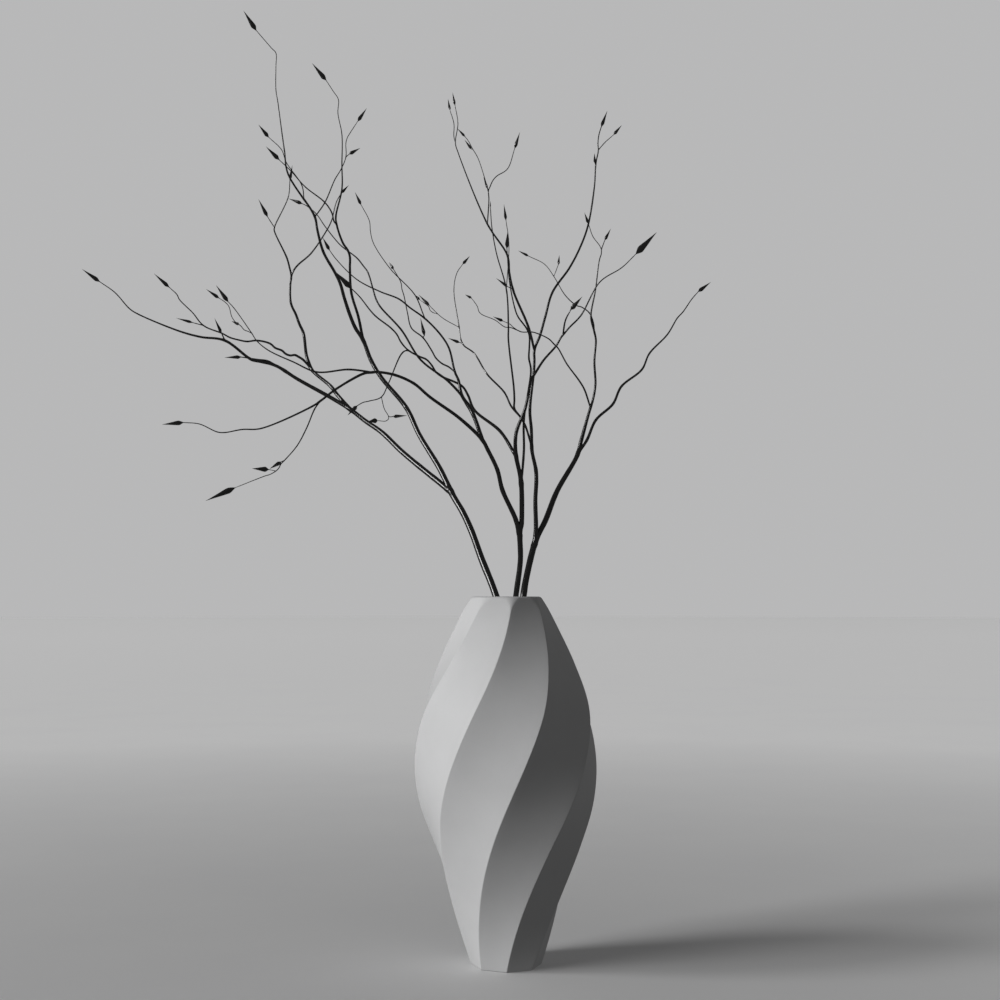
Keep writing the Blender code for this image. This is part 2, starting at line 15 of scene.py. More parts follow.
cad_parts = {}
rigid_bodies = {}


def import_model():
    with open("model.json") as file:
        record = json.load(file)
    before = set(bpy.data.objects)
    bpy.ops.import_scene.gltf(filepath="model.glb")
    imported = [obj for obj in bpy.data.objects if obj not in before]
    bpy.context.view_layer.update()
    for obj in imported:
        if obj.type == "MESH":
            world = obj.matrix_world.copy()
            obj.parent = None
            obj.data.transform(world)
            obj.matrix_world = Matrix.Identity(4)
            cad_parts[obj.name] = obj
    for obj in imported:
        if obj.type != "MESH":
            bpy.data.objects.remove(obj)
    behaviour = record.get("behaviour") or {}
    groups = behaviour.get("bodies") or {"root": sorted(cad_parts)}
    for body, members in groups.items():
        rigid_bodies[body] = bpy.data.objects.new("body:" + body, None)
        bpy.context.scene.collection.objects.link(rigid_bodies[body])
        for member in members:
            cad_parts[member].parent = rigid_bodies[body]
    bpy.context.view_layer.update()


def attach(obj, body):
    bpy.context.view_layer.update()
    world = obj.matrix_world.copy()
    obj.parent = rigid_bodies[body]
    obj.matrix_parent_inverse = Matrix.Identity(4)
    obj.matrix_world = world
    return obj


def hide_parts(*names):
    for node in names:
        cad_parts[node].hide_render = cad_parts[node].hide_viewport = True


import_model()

MM = 0.001

# The vase, measured to its corners
VASE_HEIGHT = 367.5
VASE_SIDES = 8
VASE_TWIST = 99.0            # degrees from base to mouth, counter-clockwise seen from above
VASE_WALL = 5.0
VASE_FLOOR = 9.0             # height of the floor inside
VASE_CORNERS = [             # distance from the axis to a corner, height
    (35.3, 0), (55.0, 60), (75.0, 120), (87.8, 165), (92.4, 210),
    (87.4, 255), (69.2, 300), (52.4, 335), (36.5, VASE_HEIGHT)]
HALF_SIDE = math.pi / VASE_SIDES
EDGE_ROUNDING = [            # height, radius of the rounding along each twisted edge
    (0, 1.6), (352, 1.6), (356, 3.5), (360, 8), (363.5, 15), (VASE_HEIGHT, 24)]
EDGE_PARTS = 8               # faces across that rounding
SIDE_PARTS = 10              # faces across one flat side
VASE_ROW = 3.5               # height of one row of faces
INNER_ROW = 1.6 * VASE_ROW
DENSE_ABOVE = 345            # rows are half as high above this, where the rounding grows
LIP_ROUNDING = 3.5
LIP_PARTS = 7
FOOT_ROUNDING = 1.2
FOOT_PARTS = 4
FOOT_FLARE = 0.3             # how far the wall has widened where that rounding ends
FOOT_RING = 9.0              # width of the ring that the vase stands on
FOOT_RECESS = 1.2
RECESS_SLOPE = 1.5           # width of the slope up to the recess
RECESS_EDGES = 2.0           # rounding of the recess's corners
INNER_ROUNDING = 6.0         # between the inner wall and the floor inside
INNER_PARTS = 5
INNER_EDGES = 6.0            # rounding of the inner wall's edges
FLOOR_RINGS = (0.6, 0.3, 0.1)   # rings of the floor inside, as shares of its reach

# The branches
STAND = VASE_FLOOR + 0.7     # height of a stem's cut end, clear of the floor
RING_STEP = 1.8              # distance between two rings of a twig
ROOT_SHRINK = 0.75           # a twig is this much thinner at its root, inside its parent
RIPPLE = 1.5                 # most that a route bends back and forth at its points
RIPPLE_SHARE = 0.06          # the same, against the distance between two points
TWIG_SIDES = [(4.5, 14), (2.2, 10), (0.0, 8)]   # thickness, faces round a thicker twig
BARK = 0.3                   # what bark adds to a twig's thickness
BARE = 0.7                   # no bark up to this thickness, all of it from twice that on
BARK_WAVE = 0.04             # share of the width that swells and shrinks along a twig
WAVE_LENGTH = 14.0
BARK_RIDGE = 0.015           # share of the width that the ridges along it take
RIDGE_LENGTH = 9.0
RIDGED = 1.5                 # twigs up to this thickness have ridges half as strong
NODE_SWELL = 0.05            # share by which a twig is thicker where it bends
NODE_REACH = 2.4             # how far from the bend
BEND = 9.0                   # degrees that a route turns at a point that counts as a bend
FORK_SWELL = 0.16            # share by which it is thicker where another one leaves it
FORK_REACH = 3.2             # how far from the fork
COLLAR = 0.28                # share by which it is thicker where it leaves its parent
END_SHRINK = 0.7             # a twig's end inside its bud, against its width
INTO_BUD = 0.12              # how far it goes in, as a share of the bud's length
SOFT_CREASE = 22.0           # creases at the forks that fold by more degrees are smoothed
BUD_SIDES = 6                # flat sides of a bud
BUD_PARTS = 24               # corners round a bud
BUD_RINGS = 26
BUD_PROFILE = [              # share of the bud's length, share of its width
    (0.0, 0.26), (0.05, 0.46), (0.11, 0.74), (0.17, 0.95), (0.22, 1.0), (0.30, 0.92), (0.42, 0.76),
    (0.56, 0.57), (0.70, 0.38), (0.84, 0.20), (0.95, 0.075), (1.0, 0.0)]
BUD_SCALES = [0.10, 0.27, 0.46, 0.68]   # where along a bud its scales end
BUD_SCALE_STEP = 0.04
BUD_SCALE_LENGTH = 0.12      # share of the bud over which a scale rises to its end
BUD_SCALE_POINT = 0.05       # how much further down a scale ends at its sides
BUD_SCALE_STAGGER = 0.09     # how much further up every other scale ends
BUD_SINK = 0.02              # share of the bud that lies below its base
BUD_ROUND = 0.22             # 1 for a round bud, 0 for one with flat sides

# A viewer at rim height, in front of the vase, for whom the branches are drawn
VIEW_DISTANCE = 1471.0
EYE_ACROSS = -6.4
EYE_UP = 368.0

# The camera, the light and the floor
CAMERA_SHIFT = 0.096         # share of the picture's width by which it looks higher
FLOOR_RADIUS = 25.0          # metres
# Painted glow on the floor, which is no lamp: weakest near the vase, so the floor is darker round its base,
# and brighter further away
FLOOR_PAINTED_GLOW = [               # metres from the vase, glow
    (0.2, 0.02), (2.4, 0.218), (12.0, 0.237)]
LAMPS = [                    # strength, degrees across, to the viewer's right, and up
    (1.95, 16.0, -60.0, 3.0),
    (0.60, 12.0, -80.0, 34.0),
    (0.14, 30.0, 140.0, 20.0)]
SOFTBOX = (0.90, 26.0, 10.0)  # strength, degrees long and wide
SOFTBOX_TURN = (-69.0, 20.0, 40.0)   # degrees to the viewer's right, up, and its long side's slope
SOFTBOX_AWAY = 100.0         # metres
AIR = 0.09
BACKDROP = (0.48, 0.48, 0.483)


def seen(point):
    """Real place of a drawn point (across, back, up), and how much its width grows.

    across and up are read on the upright plane through the vase's axis, as the viewer
    sees them, and back is how far behind that plane the point lies.
    """
    across, back, up = point
    spread = (VIEW_DISTANCE + back) / VIEW_DISTANCE
    place = (EYE_ACROSS + (across - EYE_ACROSS) * spread, back, EYE_UP + (up - EYE_UP) * spread)
    return Vector(place), spread


def drawn(place):
    """Drawn point of a real place, the other way round."""
    across, back, up = place
    spread = (VIEW_DISTANCE + back) / VIEW_DISTANCE
    return Vector((EYE_ACROSS + (across - EYE_ACROSS) / spread, back, EYE_UP + (up - EYE_UP) / spread))


def evenly(values, share):
    """Value at a share of the way along evenly spaced values."""
    place = min(max(share, 0.0), 1.0) * (len(values) - 1)
    index = min(int(place), len(values) - 2)
    return values[index] + (values[index + 1] - values[index]) * (place - index)


def between(table, place):
    """Value at a place in rows of (place, value), which rise evenly between two rows."""
    if place <= table[0][0]:
        return table[0][1]
    for (before, low), (after, high) in zip(table, table[1:]):
        if place <= after:
            return low + (high - low) * (place - before) / (after - before)
    return table[-1][1]


def lengths_along(points):
    """Distance along the route to each of its points."""
    lengths = [0.0]
    for before, after in zip(points, points[1:]):
        lengths.append(lengths[-1] + (after - before).length)
    return lengths


def smooth(points, step):
    """Centripetal Catmull-Rom curve through the points, with its own points a step apart."""
    ends = [2 * points[0] - points[1]] + points + [2 * points[-1] - points[-2]]
    curve = [points[0]]
    for p0, p1, p2, p3 in zip(ends, ends[1:], ends[2:], ends[3:]):
        t1 = math.sqrt((p1 - p0).length)
        t2 = t1 + math.sqrt((p2 - p1).length)
        t3 = t2 + math.sqrt((p3 - p2).length)
        count = max(1, math.ceil((p2 - p1).length / step))
        for part in range(1, count + 1):
            t = t1 + (t2 - t1) * part / count
            first = p0.lerp(p1, t / t1)
            middle = p1.lerp(p2, (t - t1) / (t2 - t1))
            last = p2.lerp(p3, (t - t2) / (t3 - t2))
            curve.append(first.lerp(middle, t / t2).lerp(middle.lerp(last, (t - t1) / (t3 - t1)),
                                                         (t - t1) / (t2 - t1)))
    return curve


class Nodes:
    """A procedural material's nodes, added one call at a time."""

    def __init__(self, name):
        self.material = bpy.data.materials.new(name)
        self.material.use_nodes = True
        self.tree = self.material.node_tree
        self.shader = self.tree.nodes["Principled BSDF"]

    def add(self, kind, **settings):
        """A node, with settings for its own values or its inputs by name."""
        node = self.tree.nodes.new(kind)
        for key, value in settings.items():
            if hasattr(node, key):
                setattr(node, key, value)
            else:
                node.inputs[key.replace("_", " ")].default_value = value
        return node

    def link(self, source, target):
        self.tree.links.new(source, target)

    def noise(self, place, scale, detail=4.0, roughness=0.5):
        """Grey noise over a place."""
        node = self.add("ShaderNodeTexNoise", Scale=scale, Detail=detail, Roughness=roughness)
        self.link(place, node.inputs["Vector"])
        return node.outputs["Fac"]

    def ramp(self, value, *stops):
        """Colours by value: each stop is a place and a colour."""
        node = self.add("ShaderNodeValToRGB")
        while len(node.color_ramp.elements) < len(stops):
            node.color_ramp.elements.new(0.5)
        for element, (place, colour) in zip(node.color_ramp.elements, stops):
            element.position = place
            element.color = (*colour, 1.0)
        self.link(value, node.inputs["Fac"])
        return node.outputs["Color"]

    def mix(self, share, first, second, blend="MIX"):
        """Two colours mixed. Each part is a socket or a plain value."""
        node = self.add("ShaderNodeMix", data_type="RGBA", blend_type=blend)
        for socket, part in (("Factor_Float", share), ("A_Color", first), ("B_Color", second)):
            target = next(entry for entry in node.inputs if entry.identifier == socket)
            if isinstance(part, bpy.types.NodeSocket):
                self.link(part, target)
            else:
                target.default_value = part if isinstance(part, float) else (*part, 1.0)
        return next(entry for entry in node.outputs if entry.identifier == "Result_Color")

    def spread(self, value, low, high, out_low, out_high):
        """A value moved from one range to another."""
        node = self.add("ShaderNodeMapRange")
        limits = {"From Min": low, "From Max": high, "To Min": out_low, "To Max": out_high}
        for key, number in limits.items():
            node.inputs[key].default_value = number
        self.link(value, node.inputs["Value"])
        return node.outputs["Result"]

    def bump(self, height, strength, distance, under=None):
        """Fine relief that only the light sees."""
        node = self.add("ShaderNodeBump", Strength=strength, Distance=distance)
        self.link(height, node.inputs["Height"])
        if under is not None:
            self.link(under, node.inputs["Normal"])
        return node.outputs["Normal"]


def make_ceramic():
    """Smooth matte stoneware with a thin clear glaze."""
    nodes = Nodes("matte_white_ceramic")
    place = nodes.add("ShaderNodeTexCoord").outputs["Object"]
    clouds = nodes.noise(place, 14.0, 5.0, 0.55)
    grain = nodes.noise(place, 900.0, 3.0, 0.6)
    waves = nodes.noise(place, 30.0, 2.0, 0.4)
    tone = nodes.ramp(clouds, (0.3, (0.590, 0.592, 0.596)), (0.7, (0.635, 0.637, 0.641)))
    specks = nodes.ramp(grain, (0.30, (0.95, 0.95, 0.95)), (0.42, (1.0, 1.0, 1.0)))
    nodes.link(nodes.mix(1.0, tone, specks, "MULTIPLY"), nodes.shader.inputs["Base Color"])
    nodes.link(nodes.spread(grain, 0.3, 0.7, 0.50, 0.60), nodes.shader.inputs["Roughness"])
    relief = nodes.bump(waves, 0.12, 0.0006)
    nodes.link(nodes.bump(grain, 0.10, 0.00008, relief), nodes.shader.inputs["Normal"])
    nodes.shader.inputs["Coat Weight"].default_value = 0.1
    nodes.shader.inputs["Coat Roughness"].default_value = 0.2
    return nodes.material


def make_wood():
    """Near black stained bark with a satin gloss, and a grain that runs along each twig."""
    nodes = Nodes("dark_stained_wood")
    place = nodes.add("ShaderNodeTexCoord").outputs["Object"]
    along = nodes.add("ShaderNodeAttribute", attribute_name="grain").outputs["Vector"]
    streaks = nodes.noise(along, 1.6, 6.0, 0.62)
    fine = nodes.noise(along, 6.0, 4.0, 0.6)
    clouds = nodes.noise(place, 55.0, 4.0, 0.55)
    pores = nodes.add("ShaderNodeTexVoronoi", Scale=1.1)
    nodes.link(along, pores.inputs["Vector"])
    bark = nodes.ramp(streaks, (0.30, (0.003, 0.0029, 0.0029)), (0.55, (0.006, 0.0056, 0.0055)),
                      (0.74, (0.013, 0.0118, 0.011)))
    worn = nodes.mix(nodes.spread(clouds, 0.50, 0.78, 0.0, 0.55), bark, (0.016, 0.015, 0.014))
    dots = nodes.spread(pores.outputs["Distance"], 0.05, 0.16, 0.4, 0.0)
    nodes.link(nodes.mix(dots, worn, (0.022, 0.020, 0.018)), nodes.shader.inputs["Base Color"])
    nodes.link(nodes.spread(streaks, 0.3, 0.7, 0.16, 0.23), nodes.shader.inputs["Roughness"])
    nodes.shader.inputs["Specular IOR Level"].default_value = 1.0
    relief = nodes.bump(streaks, 0.05, 0.00012)
    nodes.link(nodes.bump(fine, 0.05, 0.00005, relief), nodes.shader.inputs["Normal"])
    return nodes.material


def finish_mesh(name, bm, material, sharp):
    """Object from a bmesh, shaded smooth but for edges sharper than an angle in degrees."""
    bmesh.ops.recalc_face_normals(bm, faces=bm.faces)
    mesh = bpy.data.meshes.new(name)
    bm.to_mesh(mesh)
    bm.free()
    mesh.materials.append(material)
    mesh.shade_smooth()
    mesh.set_sharp_from_angle(angle=math.radians(sharp))
    piece = bpy.data.objects.new(name, mesh)
    bpy.context.scene.collection.objects.link(piece)
    return piece


def settle(piece, node):
    """The piece stands for a solid of the frame, which is hidden, and rides with the root body."""
    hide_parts(node)
    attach(piece, "root")


def bridge(bm, rings):
    """Faces between rings of equal count, each ring closed."""
    for lower, upper in zip(rings, rings[1:]):
        count = len(lower)
        for index in range(count):
            after = (index + 1) % count
            bm.faces.new((lower[index], lower[after], upper[after], upper[index]))


def vase_ring(bm, reach, height, rounding, around=None):
    """One ring of the vase: reach is the distance from the axis to the middle of a side."""
    rounding = min(rounding, reach * 0.98)
    corner = reach / math.cos(HALF_SIDE) - rounding / math.cos(HALF_SIDE)
    turn = math.radians(VASE_TWIST) * (height if around is None else around) / VASE_HEIGHT
    outline = []
    for side in range(VASE_SIDES):
        middle = turn + 2 * HALF_SIDE * side
        centre = Vector((math.cos(middle), math.sin(middle))) * corner
        for part in range(EDGE_PARTS + 1):
            angle = middle + HALF_SIDE * (2 * part / EDGE_PARTS - 1)
            outline.append(centre + rounding * Vector((math.cos(angle), math.sin(angle))))
        after = middle + 2 * HALF_SIDE
        start = outline[-1]
        angle = after - HALF_SIDE
        end = (Vector((math.cos(after), math.sin(after))) * corner
               + rounding * Vector((math.cos(angle), math.sin(angle))))
        for part in range(1, SIDE_PARTS):
            outline.append(start.lerp(end, part / SIDE_PARTS))
    return [bm.verts.new((x * MM, y * MM, height * MM)) for x, y in outline]


def make_vase():
    """Outer wall, rounded lip, inner wall and floor, and a shallow recess under the foot."""
    flat = math.cos(HALF_SIDE)
    profile = smooth([Vector(corner) for corner in VASE_CORNERS], 1.0)
    outer = [(point.y, point.x * flat) for point in profile]
    lean = math.atan2(outer[-4][1] - outer[-1][1], outer[-1][0] - outer[-4][0])
    lip_reach = outer[-1][1] - LIP_ROUNDING * (1 - math.sin(lean)) / math.cos(lean)
    lip_start = VASE_HEIGHT - LIP_ROUNDING * (1 - math.sin(lean))
    inner_top = VASE_HEIGHT - VASE_WALL / 2
    inner_reach = between(outer, inner_top) - VASE_WALL

    bm = bmesh.new()
    rings = []

    def ring(reach, height, rounding, around=None):
        rings.append(vase_ring(bm, reach, height, rounding, around))

    foot = outer[0][1]
    ring(foot - FOOT_RING - RECESS_SLOPE, FOOT_RECESS, RECESS_EDGES, 0.0)
    ring(foot - FOOT_RING, 0.0, RECESS_EDGES, 0.0)
    for part in range(FOOT_PARTS + 1):
        angle = math.pi / 2 * part / FOOT_PARTS
        ring(foot - FOOT_ROUNDING * (1 - math.sin(angle)) + FOOT_FLARE * (1 - math.cos(angle)),
             FOOT_ROUNDING * (1 - math.cos(angle)), EDGE_ROUNDING[0][1])
    rows = math.ceil((lip_start - FOOT_ROUNDING) / VASE_ROW)
    for row in range(1, rows + 1):
        height = FOOT_ROUNDING + (lip_start - FOOT_ROUNDING) * row / rows
        if height > DENSE_ABOVE and row < rows:
            halfway = height - VASE_ROW / 2
            ring(between(outer, halfway), halfway, between(EDGE_ROUNDING, halfway))
        ring(between(outer, height), height, between(EDGE_ROUNDING, height))
    for part in range(1, LIP_PARTS + 1):
        angle = lean + (math.pi / 2 - lean) * part / LIP_PARTS
        height = VASE_HEIGHT - LIP_ROUNDING * (1 - math.sin(angle))
        ring(lip_reach + LIP_ROUNDING * math.cos(angle), height, between(EDGE_ROUNDING, height))
    lip_edges = EDGE_ROUNDING[-1][1]
    for part in range(1, LIP_PARTS + 1):
        angle = math.pi / 2 * part / LIP_PARTS
        share = part / LIP_PARTS
        ring(lip_reach + (inner_reach - lip_reach) * math.sin(angle),
             inner_top + (VASE_HEIGHT - inner_top) * math.cos(angle),
             lip_edges - (lip_edges - INNER_EDGES) * share)
    inner_foot = VASE_FLOOR + INNER_ROUNDING
    rows = math.ceil((inner_top - inner_foot) / INNER_ROW)
    for row in range(1, rows + 1):
        height = inner_top - (inner_top - inner_foot) * row / rows
        ring(between(outer, height) - VASE_WALL, height, INNER_EDGES)
    for part in range(1, INNER_PARTS + 1):
        angle = math.pi / 2 * part / INNER_PARTS
        height = inner_foot - INNER_ROUNDING * math.sin(angle)
        ring(between(outer, height) - VASE_WALL - INNER_ROUNDING * (1 - math.cos(angle)),
             height, INNER_EDGES)
    for share in FLOOR_RINGS:
        ring(rings_reach(rings[-1]) * share, VASE_FLOOR, 1.0, VASE_FLOOR)
    bridge(bm, rings)
    bm.faces.new(reversed(rings[0]))
    bm.faces.new(rings[-1])
    return finish_mesh("twisted_vase", bm, make_ceramic(), 50)


def rings_reach(ring):
    """Distance from the axis to the nearest corner of a ring, in millimetres."""
    return min(math.hypot(vert.co.x, vert.co.y) for vert in ring) / MM


class Twig:
    """The line, the widths and the bud of one twig, on the drawn plane with its depths."""

    def __init__(self, points, first, thick, tip, bud, parent, seed):
        self.points = points
        self.line = smooth(points, RING_STEP)
        self.lengths = lengths_along(self.line)
        self.hidden = self.lengths[self.nearest(first)]
        self.thick = thick
        self.tip = tip
        self.bud = bud
        self.parent = parent
        self.seed = seed
        self.bends = []
        self.forks = []
        for before, point, after in zip(points, points[1:], points[2:]):
            if (point - before).angle(after - point) > math.radians(BEND):
                self.bends.append(point)

    def nearest(self, place):
        """Number of the line's point that is nearest to a place."""
        return min(range(len(self.line)), key=lambda index: (self.line[index] - place).length)

    def thickness(self, along):
        """Thickness at a length along the line, spread evenly over the drawn route."""
        return evenly(self.thick, (along - self.hidden) / (self.lengths[-1] - self.hidden))

    def width(self, along):
        """Thickness at a length along the line, its bark's slow waves included."""
        place = Vector((self.seed * 7.3, along / WAVE_LENGTH, 0.0))
        wave = noise.noise(place) + 0.5 * noise.noise(place * 2.7)
        thickness = self.thickness(along)
        bark = BARK * min(1.0, max(0.0, (thickness - BARE) / BARE))
        return (thickness + bark) * (1 + BARK_WAVE * wave)

    def swelling(self, point, from_root, parent_width):
        """How much thicker the twig is near its bends, its forks and its own root."""
        swell = 0.0
        for bend in self.bends:
            swell = max(swell, NODE_SWELL * math.exp(-((point - bend).length / NODE_REACH) ** 2))
        for fork in self.forks:
            swell = max(swell, FORK_SWELL * math.exp(-((point - fork).length / FORK_REACH) ** 2))
        if self.parent:
            swell = max(swell, COLLAR * math.exp(-(from_root / (0.9 * parent_width + 0.6)) ** 2))
        return 1 + swell


def frames(places):
    """Two directions across the line at each of its places, turned as little as can be."""
    across = (places[1] - places[0]).orthogonal().normalized()
    result = []
    for index, place in enumerate(places):
        ahead = (places[min(index + 1, len(places) - 1)] - places[max(index - 1, 0)]).normalized()
        across = (across - ahead * across.dot(ahead)).normalized()
        result.append((across, ahead.cross(across)))
    return result


class Branch:
    """One branch: a stem, and the twigs and buds that grow from it."""

    def __init__(self, name):
        self.name = name
        self.twigs = []
        self.grains = []
        self.solids = []

    def stem(self, inside, thick, back, bud, route):
        """The stem, from its cut end inside the vase up to its last bud."""
        inner = [drawn(place) for place in inside]
        return self.grow(inner, route, thick, back, bud, None)

    def twig(self, parent, thick, back, bud, route):
        """A twig or a bud's stalk, which starts in the middle of what it grows from."""
        across, up = route[0]
        root = min(parent.line, key=lambda point: math.hypot(point.x - across, point.z - up))
        parent.forks.append(root)
        return self.grow([root], route[1:], thick, (root.y,) + tuple(back), bud, parent)

    def grow(self, start, route, thick, back, bud, parent):
        """One twig along the start and the drawn route, with a bud on its end.

        The widths in thick and the depths in back are spaced evenly along the route. Its
        last two points are the bud's base and its tip.
        """
        flat = [Vector((across, 0.0, up)) for across, up in route]
        if parent:
            flat.insert(0, Vector((start[0].x, 0.0, start[0].z)))
        lengths = lengths_along(flat)
        points = []
        for index, (point, length) in enumerate(zip(flat, lengths)):
            bend = min(RIPPLE, RIPPLE_SHARE * (point - flat[max(index - 1, 0)]).length) / max(1.0, thick[0])
            depth = evenly(back, length / lengths[-1]) + bend * (-1) ** index
            points.append(point + Vector((0.0, depth, 0.0)))
        if parent:
            points[0] = start[0]
        else:
            points = start + points
        tip = points.pop()
        first = points[0] if parent else points[len(start)]
        twig = Twig(points, first, thick, tip, bud, parent, len(self.twigs) + 1)
        self.twigs.append(twig)
        return twig

    def add_solid(self, bm, grains):
        """Keeps one closed body, and the grain of each of its corners."""
        bmesh.ops.recalc_face_normals(bm, faces=bm.faces)
        mesh = bpy.data.meshes.new(self.name)
        bm.to_mesh(mesh)
        bm.free()
        for vert, grain in zip(mesh.vertices, grains):
            self.grains.append((vert.co.copy(), grain))
        solid = bpy.data.objects.new(self.name, mesh)
        bpy.context.scene.collection.objects.link(solid)
        self.solids.append(solid)

    def make_twig(self, twig):
        """The twig's bark: a closed tube that goes a little way into its bud."""
        line = list(twig.line)
        lengths = list(twig.lengths)
        parent_width = 0.0
        if twig.parent:
            near = twig.parent.nearest(line[0])
            parent_width = twig.parent.thickness(twig.parent.lengths[near])
        line.append(line[-1].lerp(twig.tip, INTO_BUD))
        lengths.append(lengths[-1])
        places = [seen(point)[0] for point in line]
        widest = max(twig.thick)
        sides = next(count for width, count in TWIG_SIDES if widest > width)
        ridges = BARK_RIDGE if widest > RIDGED else 0.5 * BARK_RIDGE
        bm = bmesh.new()
        rings, grains = [], []
        for index, (place, (across, over)) in enumerate(zip(places, frames(places))):
            spread = seen(line[index])[1]
            width = twig.width(lengths[index])
            width *= twig.swelling(line[index], lengths[index], parent_width) * spread
            if index == 0 and twig.parent:
                width *= ROOT_SHRINK / (1 + COLLAR)
            if index == len(places) - 1:
                width *= END_SHRINK
            ring = []
            for side in range(sides):
                angle = 2 * math.pi * side / sides
                out = math.cos(angle) * across + math.sin(angle) * over
                around = Vector((math.cos(angle) * 1.3, math.sin(angle) * 1.3, 0.0))
                along = Vector((twig.seed * 3.1, 0.0, lengths[index] / RIDGE_LENGTH))
                ridge = noise.noise(around + along) + 0.5 * noise.noise(around * 2.1 + along * 2.6)
                ring.append(bm.verts.new((place + out * (width / 2) * (1 + ridges * ridge)) * MM))
                grains.append(Vector((math.cos(angle) * width / 2 + twig.seed * 11.0,
                                      math.sin(angle) * width / 2, lengths[index] * 0.13)))
            rings.append(ring)
        bridge(bm, rings)
        bm.faces.new(reversed(rings[0]))
        bm.faces.new(rings[-1])
        self.add_solid(bm, grains)

    def make_bud(self, twig):
        """The bud: a long pointed spindle with flat sides and overlapping scales."""
        base, spread = seen(twig.points[-1])
        tip = seen(twig.tip)[0]
        stalk = twig.thick[-1] * spread
        across, over = frames([base, tip])[0]
        turn = twig.seed * 1.7
        bm = bmesh.new()
        rings, grains = [], []
        length = (tip - base).length
        for index in range(BUD_RINGS):
            share = (index / BUD_RINGS) ** 1.15 * (1 + BUD_SINK) - BUD_SINK
            ring = []
            for part in range(BUD_PARTS):
                angle = 2 * math.pi * part / BUD_PARTS
                side = angle * BUD_SIDES / (2 * math.pi)
                facet = side % 1.0
                wide = between(BUD_PROFILE, share) * twig.bud * spread
                flatness = math.cos(math.pi / BUD_SIDES) / math.cos((facet - 0.5) * 2 * math.pi / BUD_SIDES)
                wide *= BUD_ROUND + (1 - BUD_ROUND) * flatness + 0.03
                edge = share + BUD_SCALE_POINT * abs(facet - 0.5) * 2
                for tier, scale_end in enumerate(BUD_SCALES):
                    higher = int(side) % 2 == tier % 2
                    near = edge - scale_end - (BUD_SCALE_STAGGER if higher else 0.0)
                    if -BUD_SCALE_LENGTH < near <= 0:
                        wide *= 1 + BUD_SCALE_STEP * (1 + near / BUD_SCALE_LENGTH)
                if index == 0:
                    wide = 0.6 * stalk
                else:
                    wide = max(wide, 1.15 * stalk * (1 - share * 12))
                out = math.cos(angle + turn) * across + math.sin(angle + turn) * over
                ring.append(bm.verts.new((base.lerp(tip, share) + out * wide / 2) * MM))
                grains.append(Vector((math.cos(angle) * wide / 2 + twig.seed * 11.0,
                                      math.sin(angle) * wide / 2, share * length * 0.2 + 50)))
            rings.append(ring)
        bridge(bm, rings)
        bm.faces.new(reversed(rings[0]))
        point = bm.verts.new(tip * MM)
        grains.append(grains[-1])
        for index, vert in enumerate(rings[-1]):
            bm.faces.new((vert, rings[-1][(index + 1) % BUD_PARTS], point))
        self.add_solid(bm, grains)

    def grow_together(self, wood):
        """All the twigs and buds joined in one closed piece, with its grain kept."""
        for twig in self.twigs:
            self.make_twig(twig)
            self.make_bud(twig)
        others = bpy.data.collections.new(self.name + "_twigs")
        for solid in self.solids[1:]:
            others.objects.link(solid)
        first = self.solids[0]
        union = first.modifiers.new("grown_together", "BOOLEAN")
        union.operation = "UNION"
        union.operand_type = "COLLECTION"
        union.collection = others
        union.solver = "MANIFOLD"
        bpy.context.view_layer.update()
        graph = bpy.context.evaluated_depsgraph_get()
        joined = bpy.data.meshes.new_from_object(first.evaluated_get(graph))
        for solid in self.solids:
            bpy.data.objects.remove(solid)
        bpy.data.collections.remove(others)
        bm = bmesh.new()
        bm.from_mesh(joined)
        bpy.data.meshes.remove(joined)
        soften_forks(bm)
        piece = finish_mesh(self.name, bm, wood, 42)
        self.keep_grain(piece.data)
        return piece

    def keep_grain(self, mesh):
        """Gives each corner the grain of the nearest corner that a twig had before."""
        tree = KDTree(len(self.grains))
        for index, (place, _grain) in enumerate(self.grains):
            tree.insert(place, index)
        tree.balance()
        grain = mesh.attributes.new("grain", "FLOAT_VECTOR", "POINT")
        for index, vert in enumerate(mesh.vertices):
            grain.data[index].vector = self.grains[tree.find(vert.co)[1]][1]


def soften_forks(bm):
    """Smooths the creases where twigs meet, and nothing else."""
    bm.normal_update()
    crease = set()
    for edge in bm.edges:
        if edge.is_manifold and edge.calc_face_angle_signed(0.0) < -math.radians(SOFT_CREASE):
            crease.update(edge.verts)
    near = set(crease)
    for _step in range(2):
        for vert in list(near):
            near.update(edge.other_vert(vert) for edge in vert.link_edges if edge.calc_length() < 2.5 * MM)
    for _step in range(3):
        bmesh.ops.smooth_vert(bm, verts=list(near), factor=0.35,
                              use_axis_x=True, use_axis_y=True, use_axis_z=True)


